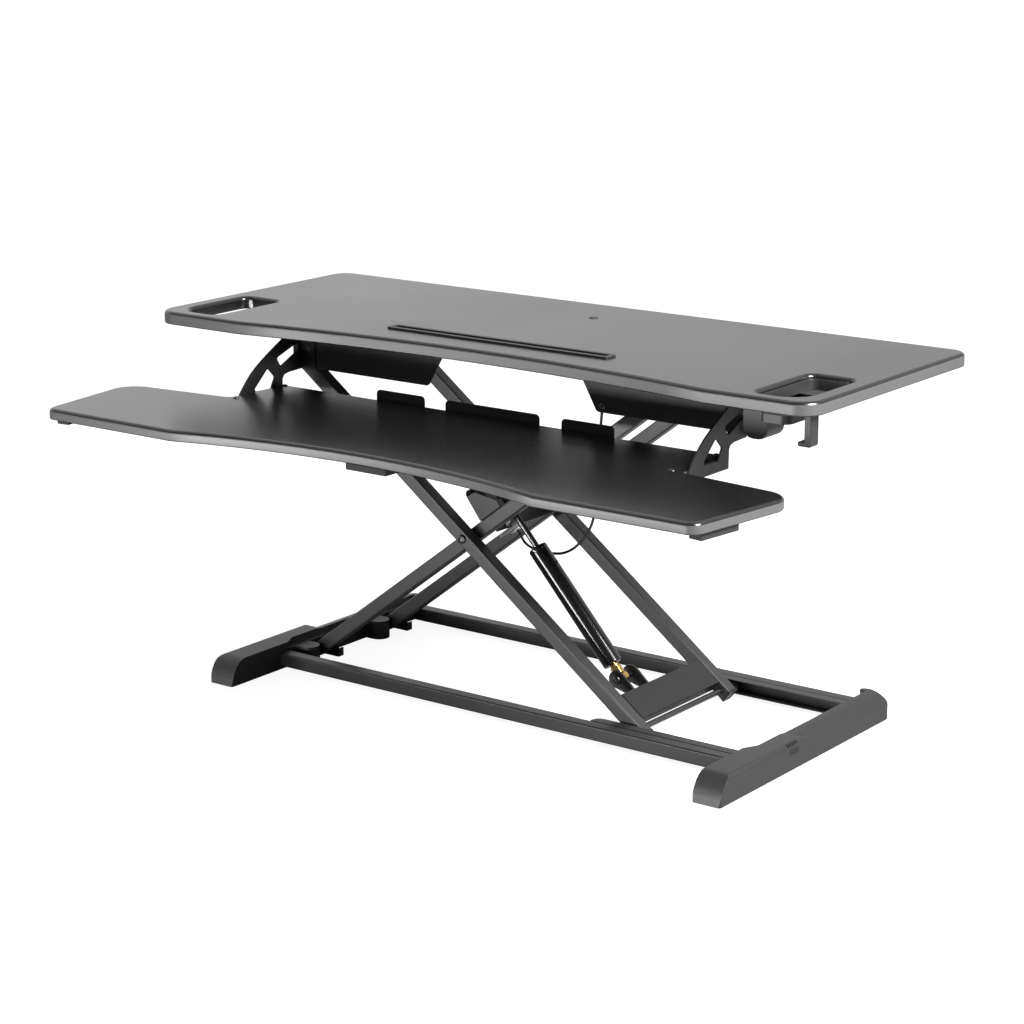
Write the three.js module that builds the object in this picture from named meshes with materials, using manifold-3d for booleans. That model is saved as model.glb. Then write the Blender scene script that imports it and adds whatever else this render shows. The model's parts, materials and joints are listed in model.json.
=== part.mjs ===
// Standing desk converter: a crossed-arm lift between a floor frame and a desktop with a lower tray.
// Millimetres, +X to the user's right, +Y away from the user, +Z up. Every Y below is measured from
// the mid-plane of the crossed arms, and the whole model is moved to its origin at the end.
import * as THREE from 'three';
import { mergeVertices } from 'three/addons/utils/BufferGeometryUtils.js';
import Module from 'manifold-3d';

const wasm = await Module();
wasm.setup();

// Clearances and facets shared by every piece
const seat = 0.3;
const overrun = 5;
const roundSides = 16;
const arcSteps = 4;
const boardSteps = 6;
const cornerSteps = 2;
const bowSteps = 12;
const grid = 1 / 4096;

// Lift geometry: the angle of the arms as shown, and how far they rise and sink from it
const liftAngle = THREE.MathUtils.degToRad(37.2);
const liftRise = THREE.MathUtils.degToRad(1.5);
const liftDrop = THREE.MathUtils.degToRad(34.1);
const armReach = 728;
const armTube = 20;
const armWall = 1.5;
const armOverhang = 10;
const innerHalfWidth = 91;
const frameGap = 6;
const tubeCorner = 2.5;
const pinDiameter = 8;
const pinPlay = 0.35;
const pinHeadDiameter = 12.6;
const pinHeadHeight = 2.2;
const nutHeight = 3.5;
const spacerDiameter = 14;
const rollerWidth = 11;
const rollerPlay = 0.3;

// Base frame
const railTube = 20;
const railWall = 1.5;
const railLift = 6.25;
const footWidth = 42.5;
const footLength = 436.6;
const footFront = -264;
const footLift = 1.2;
const footNose = 4.5;
const footNoseReach = 32;
const footNoseBrow = 13;
const footNoseLean = 3;
const footNoseRise = 21;
const footTail = 8;
const footTailBlock = 9;
const footLedgeWall = 2.75;
const footLedgeWidth = 9.5;
const footRise = 9.8;
const footRidgeRise = 8.2;
const footRidgeInset = 10.5;
const footOuterWall = 20.6;
const footCrown = 16;
const footShoulder = 8;
const footStepSetback = 198;
const footStepLength = 38;
const footSlantStart = 121;
const footSlantLength = 21;
const footSocket = 30;
const endRoom = 37;
const pivotInset = 11.1;
const bossRadius = 15.5;
const bossReach = 13;
const bossOffset = 19;
const bossPinDepth = 13;
const padLength = 38;
const padInset = 3;
const padMargin = 4;
const trackGap = 6.5;
const trackDepth = 16;
const trackWall = 1.5;
const trackLead = 38;
const trackCorner = 12;
const cheekSheet = 2;
const cheekLength = 35;
const cheekTab = 12;
const cheekFlange = 20.7;
const cheekLift = 3;
const cheekRise = 10.75;
const cheekTabDrop = 10;

// Desktop
const deskOverhang = 103;
const deskDepth = 412.5;
const deskFront = -244;
const deskThickness = 18;
const deskAboveHinge = 71.05;
const deskCurveHalf = 380;
const deskCurveDepth = 33;
const deskFrontCorner = 31;
const deskBackCorner = 26;
const handHoleRim = 27;
const handHoleSetback = 22;
const handHoleWidth = 68;
const handHoleLength = 140;
const handHoleCorner = 14;
const handHoleOuterCorner = 33;
const slotLength = 364;
const slotWidth = 24;
const slotSetback = 83.5;
const slotRim = 5;
const slotWall = 1.5;
const slotDepth = 13;
const slotRaise = 2.5;
const slotCorner = 5;
const plugDiameter = 11;
const plugHeadDiameter = 13;
const plugSetback = 96.5;
const plugHeight = 9;
const plugRaise = 1;
const topRebate = 1.5;

// Keyboard tray
const trayThickness = 15;
const trayDrop = 81.5;
const trayFrontOverhang = 90.3;
const trayWingOverhang = 115;
const trayWingClear = 7.4;
const trayWingSlope = 20.6;
const trayWingDepth = 184;
const trayKink = 292;
const trayCurveDepth = 43;
const trayNeckGap = 1;
const trayBackClear = 5;
const trayFrontCorner = 18;
const trayWingCorner = 36;
const trayNeckCorner = 14;
const trayRearCorner = 8;
const stopSheet = 1.5;
const stopTabHeight = 13.5;
const stopStripDrop = 1;
const stopCentreHalf = 78;
const stopTabGap = 35.5;
const stopTabWidth = 83.5;
const stopTabCorner = 6;
const trayFootHeight = 10;
const trayFootWidth = 20;
const trayFootLength = 68;
const trayFootInset = 5;
const trayFootSetback = 18;
const centreFootWidth = 66;
const centreFootDepth = 30;
const centreFootSetback = 4;

// Tray hangers: a curved side plate, bolted to the rail behind it and to the tray above its foot.
// Outlines are shares of the plate's reach forward from the rail and of its height from the foot.
const hangerSheet = 2.5;
const hangerClear = 0.9;
const hangerFlange = 28;
const hangerReach = 139.7;
const hangerFootSheet = 2;
const hangerFootReach = 154;
const hangerHoleCorner = 3;
const hangerFrontShares = [[1, 0], [0.95, 0.145], [0.8, 0.379], [0.624, 0.561], [0.309, 0.805], [0.02, 1]];
const hangerRearShares = [[0, 1], [0, 0.334], [0.215, 0.322], [0.272, 0.3], [0.296, 0.25], [0.3, 0]];
const hangerTriangleShares = [[0.517, 0.45], [0.413, 0.3025], [0.474, 0.145], [0.749, 0.16]];
const hangerSlotShares = [[0.384, 0.566], [0.32, 0.4345], [0.062, 0.602], [0.055, 0.724]];
const hangerFlangeFootShare = 0.334;

// Rails under the desktop
const deskRailSheet = 2;
const deskRailGap = 2.6;
const deskRailFlange = 20;
const deskRailInset = 3.5;
const deskRailInner = 104;
const deskRailSlant = 36;
const deskRailCorner = 8;
const channelLip = 14;
const channelLipInset = 8;

// Spring between the two frames
const springPlane = -54.7;
const clevisSetback = 26.5;
const springLowerRise = -1;
const springUpperReach = 50;
const springUpperRise = 44;
const springDiameter = 27.5;
const springStart = 22;
const springLength = 194;
const springBase = 6;
const springBore = 10;
const rodDiameter = 9;
const rodInside = 90;
const eyeDiameter = 15;
const eyeWidth = 14;
const hexWidth = 16;
const headDiameter = 18;
const headLength = 26;
const headAbove = 9;

// Sheet bracket on the inner frame, with the cable's lever under it
const bracketSheet = 2.5;
const bracketStart = 22;
const bracketBelow = 12;
const bracketAbove = 58;
const bracketReach = 43;
const bracketTop = 15;
const bracketToe = 11;
const bracketCorner = 9;
const springEarInset = 13;
const springEarReach = 39;
const springEarBelow = 30;
const springEarCorner = 9;
const earBoltDiameter = 11;
const earBoltHeight = 3;
const valvePlane = -43;
const valveSheet = 1.5;
const valveCheekLength = 20;
const valveCheekRise = 16;
const valveShelfDrop = 10;
const valveWidth = 12;
const valveArmReach = 44;
const valveArmRise = 4.4;
const valveArmDrop = 0.6;
const valveArmWidth = 3.5;
const valvePivotReach = 38;
const valvePivotDiameter = 3;

// Lower cross plate of the outer frame with the spring's clevis, and the arms' end caps
const crossSheet = 2.5;
const crossSetback = 9;
const crossDepth = 43.5;
const crossLip = 8;
const clevisSheet = 3.5;
const clevisRadius = 13;
const clevisRoot = 24;
const clevisFront = -68.5;
const clevisRear = -31;
const boltHeadHeight = 3.2;
const hingeHeadDiameter = 10;
const armCapSheet = 3;
const armCapPlug = 5;

// Squeeze lever with its housing at the right, and the headset hook
const housingSetback = 37;
const housingWidth = 36;
const housingFrontSetback = 40;
const housingDepth = 40;
const housingDrop = 51;
const housingCorner = 14;
const linerWall = 2.5;
const linerBelow = 2.3;
const linerAbove = 12;
const linerRim = 4;
const linerRimSheet = 2;
const leverPivotInset = 12;
const leverInset = 8;
const leverWidth = 40;
const leverLength = 113;
const leverFrontInset = 5;
const leverHeight = 11;
const leverTopGap = 8;
const leverCorner = 12;
const leverArmWidth = 16;
const leverArmHeight = 8;
const leverPlay = 1;
const leverSwing = 4;
const trunnionDiameter = 5;
const trunnionLength = 4;
const hookInset = 13;
const hookWidth = 9.5;
const hookSetback = 23.3;
const hookDepth = 19;
const hookDrop = 41.5;
const hookTip = 9;
const hookTipHeight = 6;

// Release cable: its route from the lever's bracket to the back of the right housing, chosen by hand
const cableDiameter = 3.2;
const cableSides = 8;
const cableSteps = 56;
const cableLead = 8;
const cableEntryRise = 27;
const cableRoute = [
  [-34.5, -41, 223], [-26, -34, 214.5], [-14, -27, 210], [-0.6, -21.7, 208.7],
  [12.9, -17.5, 210.3], [28.3, -15.5, 218.3], [43.6, -17, 231.9], [58.1, -21.7, 248.3], [70, -27, 268],
  [77, -30, 300], [81, -32, 345], [84.5, -34, 390], [88, -38, 425], [96, -46, 462], [112, -56, 486],
  [142, -69, 497], [190, -80, 500], [260, -86, 500], [320, -88, 500], [366, -91, 499.5],
  [392, -100, 497], [408, -114, 492],
];

// Stations worked out from the sizes above
const cos = Math.cos(liftAngle);
const sin = Math.sin(liftAngle);
const footRear = footFront + footLength;
const feetInner = (pivotInset + armReach * Math.cos(liftAngle - liftDrop) + endRoom) / 2;
const feetOuter = feetInner + footWidth;
const footLedge = railLift + railTube + footLedgeWall;
const footRidge = footLedge + footRidgeRise;
const footHeight = footLedge + footRise;
const pivotX = pivotInset - feetInner;
const pivotZ = railLift + railTube / 2;
const centreX = pivotX + armReach / 2 * cos;
const centreZ = pivotZ + armReach / 2 * sin;
const hingeZ = pivotZ + armReach * sin;
const highestRollerX = pivotX + armReach * Math.cos(liftAngle + liftRise);
const rollerDiameter = railTube - 2 * (trackWall + rollerPlay);
const pinHole = pinDiameter + 2 * pinPlay;
const innerInside = innerHalfWidth - armTube;
const outerInside = innerHalfWidth + frameGap;
const outerOutside = outerInside + armTube;
const trackInside = outerOutside + trackGap;
const railInside = trackInside + trackDepth;
const railOutside = railInside + railTube;
const rollerOutside = railInside - seat - trackWall - rollerPlay;
const trackStart = highestRollerX - rollerDiameter / 2 - trackLead;
const deskTop = hingeZ + deskAboveHinge;
const deskUnder = deskTop - deskThickness;
const deskBack = deskFront + deskDepth;
const underDesk = deskUnder - seat;
const deskRailInside = outerOutside + deskRailGap;
const deskRailOutside = deskRailInside + deskRailSheet;
const deskRailOuter = feetInner - deskRailInset;
const deskRailBottom = hingeZ - rollerDiameter / 2 - rollerPlay - deskRailSheet;
const upperRollerOutside = deskRailInside - rollerPlay;
const trayUnder = deskUnder - trayDrop - trayThickness;
const trayTop = trayUnder + trayThickness;
const trayBack = -(railOutside + trayBackClear);
const trayNeckBack = footFront - trayWingClear;
const trayWingBack = trayNeckBack - trayWingSlope;
const trayFront = trayWingBack - trayWingDepth;
const hangerOuter = -pivotX - hingeHeadDiameter / 2 - hangerClear;
const hangerInner = hangerOuter - hangerSheet;
const hangerBack = -(deskRailOutside + seat);
const hangerBottom = trayUnder - seat - hangerFootSheet;
const trayNeckHalf = hangerInner - trayNeckGap;
const deskHalf = feetOuter + deskOverhang;
const trayFrontHalf = feetOuter + trayFrontOverhang;
const trayWingHalf = feetOuter + trayWingOverhang;
const handHoleOuter = deskHalf - handHoleRim;
const handHoleInner = handHoleOuter - handHoleWidth;
const handHoleFront = deskFront + handHoleSetback;
const housingInner = handHoleInner - housingSetback;
const housingFront = handHoleFront + housingFrontSetback;
const leverPivotX = housingInner + leverPivotInset;
const leverTop = deskUnder - leverTopGap;
const leverBottom = leverTop - leverHeight;
const leverPivotZ = leverBottom + leverArmHeight / 2;
const leverMiddle = housingFront + housingDepth / 2;
const crossEnd = armReach / 2 - crossSetback;
const crossStart = crossEnd - crossDepth;
const clevisReach = crossStart - clevisSetback;
const plateTop = armTube / 2;

// Finishes
const powderCoat = new THREE.MeshStandardMaterial({ color: 0x2b2b2c, roughness: 0.55, metalness: 0.3 });
const laminate = new THREE.MeshStandardMaterial({ color: 0x2e2e2f, roughness: 0.5, metalness: 0 });
const plastic = new THREE.MeshStandardMaterial({ color: 0x1c1c1d, roughness: 0.5, metalness: 0 });
const rubber = new THREE.MeshStandardMaterial({ color: 0x141414, roughness: 0.9, metalness: 0 });
const zinc = new THREE.MeshStandardMaterial({ color: 0xb9bbbd, roughness: 0.35, metalness: 0.9 });
const brass = new THREE.MeshStandardMaterial({ color: 0xc9a14a, roughness: 0.3, metalness: 0.9 });
const glossPaint = new THREE.MeshStandardMaterial({ color: 0x0c0c0d, roughness: 0.2, metalness: 0.4 });
const darkSteel = new THREE.MeshStandardMaterial({ color: 0x3a3a3c, roughness: 0.15, metalness: 0.9 });

// Joining and cutting. Points snap to a fine grid, so that faces meant to be flush are exactly flush
function toSolid(geometry) {
  const bare = geometry.clone();
  bare.deleteAttribute('normal');
  bare.deleteAttribute('uv');
  const merged = mergeVertices(bare);
  return new wasm.Manifold(new wasm.Mesh({
    numProp: 3,
    vertProperties: Float32Array.from(
      merged.attributes.position.array, (value) => Math.round(value / grid) * grid),
    triVerts: Uint32Array.from(merged.index.array),
  }));
}

function toGeometry(solid) {
  const result = solid.getMesh();
  const geometry = new THREE.BufferGeometry();
  geometry.setAttribute('position', new THREE.BufferAttribute(result.vertProperties, 3));
  geometry.setIndex(new THREE.BufferAttribute(result.triVerts, 1));
  geometry.computeVertexNormals();
  return geometry;
}

function join(...solids) {
  return solids.reduce((whole, solid) => whole.add(solid));
}

function cut(solid, ...tools) {
  return tools.reduce((rest, tool) => rest.subtract(tool), solid);
}

function place(parent, name, solid, material) {
  const mesh = new THREE.Mesh(toGeometry(solid), material);
  mesh.name = name;
  parent.add(mesh);
}

// Solids between two stations, given in either order
function ordered(stations) {
  return [Math.min(...stations), Math.max(...stations)];
}

function box(xs, ys, zs) {
  const [[x0, x1], [y0, y1], [z0, z1]] = [xs, ys, zs].map(ordered);
  const geometry = new THREE.BoxGeometry(x1 - x0, y1 - y0, z1 - z0);
  geometry.translate((x0 + x1) / 2, (y0 + y1) / 2, (z0 + z1) / 2);
  return toSolid(geometry);
}

function extrude(shape, depth, steps) {
  return new THREE.ExtrudeGeometry(shape, { depth, bevelEnabled: false, curveSegments: steps });
}

function alongX(shape, stations, steps = arcSteps) {
  const [x0, x1] = ordered(stations);
  const geometry = extrude(shape, x1 - x0, steps);
  geometry.applyMatrix4(new THREE.Matrix4().makeBasis(
    new THREE.Vector3(0, 1, 0), new THREE.Vector3(0, 0, 1), new THREE.Vector3(1, 0, 0)));
  geometry.translate(x0, 0, 0);
  return toSolid(geometry);
}

function alongY(shape, stations, steps = arcSteps) {
  const [y0, y1] = ordered(stations);
  const geometry = extrude(shape, y1 - y0, steps);
  geometry.rotateX(Math.PI / 2);
  geometry.translate(0, y1, 0);
  return toSolid(geometry);
}

function alongZ(shape, stations, steps = arcSteps) {
  const [z0, z1] = ordered(stations);
  const geometry = extrude(shape, z1 - z0, steps);
  geometry.translate(0, 0, z0);
  return toSolid(geometry);
}

// Round bars: one across the model at x and z, one standing at x and y
function pin(diameter, x, z, stations, sides = roundSides) {
  const [y0, y1] = ordered(stations);
  const geometry = new THREE.CylinderGeometry(diameter / 2, diameter / 2, y1 - y0, sides);
  geometry.translate(x, (y0 + y1) / 2, z);
  return toSolid(geometry);
}

function post(diameter, x, y, stations, sides = roundSides) {
  const [z0, z1] = ordered(stations);
  const geometry = new THREE.CylinderGeometry(diameter / 2, diameter / 2, z1 - z0, sides);
  geometry.rotateX(Math.PI / 2);
  geometry.translate(x, y, (z0 + z1) / 2);
  return toSolid(geometry);
}

// Outlines: a rounded corner is an arc tangent to the two sides that meet there
function rectangle(xs, ys, radius = 0) {
  const [[x0, x1], [y0, y1]] = [xs, ys].map(ordered);
  return [[x0, y0, radius], [x1, y0, radius], [x1, y1, radius], [x0, y1, radius]];
}

function outline(corners) {
  const shape = new THREE.Shape();
  corners.forEach(([x, y, radius], index) => {
    const here = new THREE.Vector2(x, y);
    const [beforeX, beforeY] = corners.at(index - 1);
    const [afterX, afterY] = corners[(index + 1) % corners.length];
    const back = new THREE.Vector2(beforeX, beforeY).sub(here).normalize();
    const onward = new THREE.Vector2(afterX, afterY).sub(here).normalize();
    const half = Math.acos(back.dot(onward)) / 2;
    const rounded = radius > 0;
    const start = rounded ? here.clone().addScaledVector(back, radius / Math.tan(half)) : here;
    if (index === 0) {
      shape.moveTo(start.x, start.y);
    } else if (!rounded) {
      shape.lineTo(start.x, start.y);
    }
    if (rounded) {
      const middle = back.clone().add(onward).normalize();
      const centre = here.clone().addScaledVector(middle, radius / Math.sin(half));
      const end = here.clone().addScaledVector(onward, radius / Math.tan(half));
      const from = start.clone().sub(centre).angle();
      const to = end.clone().sub(centre).angle();
      shape.absarc(centre.x, centre.y, radius, from, to, back.cross(onward) > 0);
    }
  });
  return shape;
}

// A shallow circular bow towards +Y, from left to right, that meets y at both its ends
function bow(halfWidth, y, depth) {
  const radius = (halfWidth ** 2 + depth ** 2) / (2 * depth);
  const sweep = Math.asin(halfWidth / radius);
  return Array.from({ length: bowSteps + 1 }, (_, step) => {
    const angle = sweep * (2 * step / bowSteps - 1);
    return [radius * Math.sin(angle), y + depth - radius * (1 - Math.cos(angle)), 0];
  });
}

const converter = new THREE.Group();
const sides = { left: -1, right: 1 };
const faces = { front: -1, rear: 1 };

// Base: two feet, two rails and the tracks that the lower rollers run in
function footSection(side) {
  const section = new THREE.Shape();
  section.moveTo(side * feetInner, footLift);
  section.lineTo(side * feetOuter, footLift);
  section.lineTo(side * feetOuter, footLift + footOuterWall);
  section.quadraticCurveTo(
    side * (feetOuter - footCrown), footRidge, side * (feetInner + footRidgeInset), footRidge);
  section.lineTo(side * (feetInner + footLedgeWidth), footLedge);
  section.lineTo(side * feetInner, footLedge);
  return section;
}

function footFrontSection(side) {
  return outline([
    [side * feetInner, footLift, 0],
    [side * feetOuter, footLift, 0],
    [side * feetOuter, footHeight, footShoulder],
    [side * feetInner, footHeight, 0],
  ]);
}

// Side view of the raised front part: a curved nose, and a step down to the crowned rear part
function footStep() {
  const start = footFront + footStepSetback;
  const end = start + footStepLength;
  const middle = (start + end) / 2;
  const low = footLift + footOuterWall;
  const step = new THREE.Shape();
  step.moveTo(footFront, footLift);
  step.lineTo(end, footLift);
  step.lineTo(end, low);
  step.bezierCurveTo(middle, low, middle, footHeight, start, footHeight);
  step.lineTo(footFront + footNoseReach, footHeight);
  step.bezierCurveTo(footFront + footNoseBrow, footHeight,
    footFront + footNoseLean, footLift + footNoseRise, footFront, footLift);
  return step;
}

// Plan of the raised front part, slanted where it ends at the inner side
function footRaisedPlan(side) {
  const slant = footFront + footSlantStart;
  const end = footFront + footStepSetback + footStepLength;
  return outline([
    [side * feetInner, footFront, footNose],
    [side * feetOuter, footFront, footNose],
    [side * feetOuter, end, 0],
    [side * (feetInner + footRidgeInset), end, 0],
    [side * (feetInner + footRidgeInset), slant + footSlantLength, 0],
    [side * feetInner, slant, 0],
  ]);
}

function foot(side) {
  const length = [footFront, footRear];
  const widths = [side * feetInner, side * feetOuter];
  const heights = [0, footHeight + overrun];
  const raised = alongX(footStep(), widths, boardSteps)
    .intersect(alongY(footFrontSection(side), length))
    .intersect(alongZ(footRaisedPlan(side), heights));
  const low = alongY(footSection(side), [footFront + footNoseReach, footRear], boardSteps);
  const block = box([side * feetInner, side * (feetInner + footRidgeInset)],
    [footRear - footTailBlock, footRear], [footLift, footRidge]);
  const plan = alongZ(outline([
    [side * feetInner, footFront, footNose],
    [side * feetOuter, footFront, footNose],
    [side * feetOuter, footRear, footTail],
    [side * feetInner, footRear, footTail],
  ]), heights);
  const sockets = Object.values(faces).map((face) => box(
    [side * (feetInner - overrun), side * (feetInner + footSocket + seat)],
    [face * (railInside - seat), face * (railOutside + seat)],
    [railLift - seat, railLift + railTube + seat]));
  return cut(join(low, raised, block).intersect(plan), ...sockets);
}

// Half-round boss inside the left foot that takes the outer end of an arm's pivot pin
function pivotBoss(armFace) {
  const y = armFace - bossOffset;
  const plan = new THREE.Shape();
  plan.moveTo(-feetInner - overrun, y - bossRadius);
  plan.lineTo(bossReach - feetInner, y - bossRadius);
  plan.absarc(bossReach - feetInner, y, bossRadius, -Math.PI / 2, Math.PI / 2, false);
  plan.lineTo(-feetInner - overrun, y + bossRadius);
  return alongZ(plan, [footLift, footLedge]);
}

function pivotBore(armFace) {
  return pin(pinHole, pivotX, pivotZ, [armFace, armFace - bossPinDepth - seat]);
}

function pivotBracket(armFace) {
  const near = armFace + seat;
  const wall = seat - feetInner;
  const end = wall + cheekLength;
  const bottom = footLift + cheekLift;
  const top = pivotZ + cheekRise;
  const cheek = box([wall, end], [near, near + cheekSheet], [bottom, top]);
  const tab = box([end - cheekSheet, end], [near, near + cheekTab], [bottom, top - cheekTabDrop]);
  const flange = box([wall, wall + cheekSheet], [near, near + cheekFlange], [bottom, top]);
  return cut(join(cheek, tab, flange),
    pin(pinHole, pivotX, pivotZ, [near - overrun, near + cheekSheet + overrun]));
}

function pivotPin(armFace, farFace) {
  const head = farFace + 2 * seat + cheekSheet;
  return join(
    pin(pinDiameter, pivotX, pivotZ, [armFace - bossPinDepth, head]),
    pin(pinHeadDiameter, pivotX, pivotZ, [head, head + pinHeadHeight]));
}

function squareTube(y, z, width, wall, stations) {
  const section = outline(rectangle([y, y + width], [z, z + width], tubeCorner));
  section.holes.push(outline(
    rectangle([y + wall, y + width - wall], [z + wall, z + width - wall], tubeCorner - wall)));
  return alongX(section, stations, cornerSteps);
}

function track(face) {
  const back = railInside - seat;
  const top = railLift + railTube;
  const section = outline([
    [face * trackInside, railLift, 0],
    [face * back, railLift, 0],
    [face * back, top, 0],
    [face * trackInside, top, 0],
    [face * trackInside, top - trackWall, 0],
    [face * (back - trackWall), top - trackWall, 0],
    [face * (back - trackWall), railLift + trackWall, 0],
    [face * trackInside, railLift + trackWall, 0],
  ]);
  const plan = outline([
    [trackStart, face * trackInside, trackCorner],
    [feetInner - seat, face * trackInside, 0],
    [feetInner - seat, face * back, 0],
    [trackStart, face * back, 0],
  ]);
  return alongX(section, [trackStart, feetInner - seat])
    .intersect(alongZ(plan, [railLift, top], cornerSteps));
}

function footPad(side, end) {
  const middle = side * (feetInner + footWidth / 2);
  const half = footWidth / 2 - padMargin;
  const outer = end < 0 ? footFront + padInset : footRear - padInset;
  const corners = rectangle([middle - half, middle + half], [outer, outer - end * padLength], footNose / 2);
  return alongZ(outline(corners), [0, footLift - seat], cornerSteps);
}

function buildBase() {
  const frontArm = [-innerHalfWidth, -innerInside];
  const rearArm = [innerInside, innerHalfWidth];
  const leftFoot = cut(
    join(foot(sides.left), pivotBoss(frontArm[0]), pivotBoss(rearArm[0])),
    pivotBore(frontArm[0]), pivotBore(rearArm[0]));
  place(converter, 'left_foot', leftFoot, plastic);
  place(converter, 'right_foot', foot(sides.right), plastic);
  place(converter, 'front_pivot_bracket', pivotBracket(frontArm[1]), powderCoat);
  place(converter, 'rear_pivot_bracket', pivotBracket(rearArm[1]), powderCoat);
  place(converter, 'front_pivot_pin', pivotPin(...frontArm), darkSteel);
  place(converter, 'rear_pivot_pin', pivotPin(...rearArm), darkSteel);
  for (const [end, face] of Object.entries(faces)) {
    const near = face < 0 ? -railOutside : railInside;
    const length = [-feetInner - footSocket, feetInner + footSocket];
    place(converter, `${end}_base_rail`, squareTube(near, railLift, railTube, railWall, length), powderCoat);
    place(converter, `${end}_roller_track`, track(face), powderCoat);
    for (const [name, side] of Object.entries(sides)) {
      place(converter, `${end}_${name}_pad`, footPad(side, face), rubber);
    }
  }
}

// Arms: X runs along the arm from the crossing, Z is the arm's upward normal
function armFrame(tilt) {
  const frame = new THREE.Group();
  frame.position.set(centreX, 0, centreZ);
  frame.rotation.y = tilt;
  converter.add(frame);
  return frame;
}

function arm(near) {
  const half = armTube / 2;
  const end = armReach / 2 + armOverhang;
  const profile = new THREE.Shape();
  profile.absarc(-armReach / 2, 0, half, Math.PI / 2, 3 * Math.PI / 2, false);
  profile.lineTo(end, -half);
  profile.lineTo(end, half);
  const tube = squareTube(near, -half, armTube, armWall, [-armReach / 2 - half, end])
    .intersect(alongY(profile, [near, near + armTube]));
  const bores = [-armReach / 2, 0, armReach / 2].map((reach) => pin(
    pinHole, reach, 0, [near - overrun, near + armTube + overrun]));
  return cut(tube, ...bores);
}

function roller(face, outer) {
  const width = [face * outer, face * (outer - rollerWidth)];
  return cut(
    pin(rollerDiameter, armReach / 2, 0, width),
    pin(pinHole, armReach / 2, 0, [face * (outer + overrun), face * (outer - rollerWidth - overrun)]));
}

// Web and cheeks of the bracket that bridges the two inner arms and carries the spring's upper end
function bracketWeb() {
  const step = plateTop + seat;
  const web = outline([
    [-innerInside + seat, -bracketBelow, 0], [innerInside - seat, -bracketBelow, 0],
    [innerInside - seat, step, 0], [innerHalfWidth, step, 0],
    [innerHalfWidth, bracketAbove, bracketCorner], [-innerHalfWidth, bracketAbove, bracketCorner],
    [-innerHalfWidth, step, 0], [-innerInside + seat, step, 0],
  ]);
  return alongX(web, [bracketStart, bracketStart + bracketSheet], cornerSteps);
}

function bracketCheek(face) {
  const bottom = plateTop + seat;
  const toe = bracketStart + bracketReach;
  const cheek = outline([
    [bracketStart, bottom, 0], [toe, bottom, 0], [toe, bottom + bracketToe, bracketCorner],
    [bracketStart + bracketTop, bracketAbove - bracketCorner, bracketCorner],
    [bracketStart, bracketAbove - bracketCorner, 0],
  ]);
  return alongY(cheek, [face * innerHalfWidth, face * (innerHalfWidth - bracketSheet)], cornerSteps);
}

function springEar(face) {
  const inner = springPlane + face * springEarInset;
  const outer = inner + face * bracketSheet;
  const front = bracketStart + springEarReach;
  const ear = outline([
    [bracketStart, springEarBelow, 0], [front, springEarBelow, springEarCorner],
    [front, bracketAbove, springEarCorner], [bracketStart, bracketAbove, 0],
  ]);
  return join(
    alongY(ear, [inner, outer], cornerSteps),
    pin(earBoltDiameter, springUpperReach, springUpperRise, [inner, outer + face * earBoltHeight]));
}

// The cable pulls a small lever that hangs under the bracket's web
function valveBracket() {
  const start = bracketStart + bracketSheet + seat;
  const shelf = -bracketBelow - valveShelfDrop;
  const rear = valvePlane + valveWidth / 2;
  const cheek = box([start, start + valveCheekLength], [rear - valveSheet, rear], [shelf, shelf + valveCheekRise]);
  const tab = box(
    [start, start + valveSheet], [rear - valveWidth, rear],
    [-bracketBelow + valveSheet, -bracketBelow + valveCheekRise]);
  const gusset = box(
    [start, start + valveSheet + seat], [rear - valveSheet, rear], [shelf, -bracketBelow + valveCheekRise]);
  const floor = box(
    [start + valveSheet, start + valveCheekLength], [rear - valveWidth, rear], [shelf, shelf + valveSheet]);
  return cut(join(cheek, tab, gusset, floor), pin(
    valvePivotDiameter + 2 * pinPlay, valvePivotReach, valveLeverMiddle(), [rear - valveWidth, rear + overrun]));
}

function valveLeverMiddle() {
  return -bracketBelow - valveArmDrop - valveArmRise / 2;
}

function valveLever() {
  const middle = valveLeverMiddle();
  const rear = valvePlane + valveWidth / 2 - valveSheet - seat;
  const bar = box([0, valveArmReach], [rear - valveArmWidth, rear],
    [middle - valveArmRise / 2, middle + valveArmRise / 2]);
  return join(bar, pin(valvePivotDiameter, valvePivotReach, middle, [rear - valveArmWidth, rear + valveSheet + seat]));
}

function buildInnerFrame() {
  const inner = armFrame(-liftAngle);
  place(inner, 'inner_arm_front', arm(-innerHalfWidth), powderCoat);
  place(inner, 'inner_arm_rear', arm(innerInside), powderCoat);
  const bracket = join(bracketWeb(), ...Object.values(faces).flatMap((face) => [bracketCheek(face), springEar(face)]));
  place(inner, 'inner_cross_bracket', bracket, powderCoat);
  place(inner, 'upper_roller_shaft',
    pin(pinDiameter, armReach / 2, 0, [-upperRollerOutside, upperRollerOutside]), darkSteel);
  for (const [end, face] of Object.entries(faces)) {
    place(inner, `upper_roller_${end}`, roller(face, upperRollerOutside), plastic);
  }
  place(inner, 'valve_lever_bracket', valveBracket(), zinc);
  place(inner, 'valve_lever', valveLever(), zinc);
}

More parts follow.
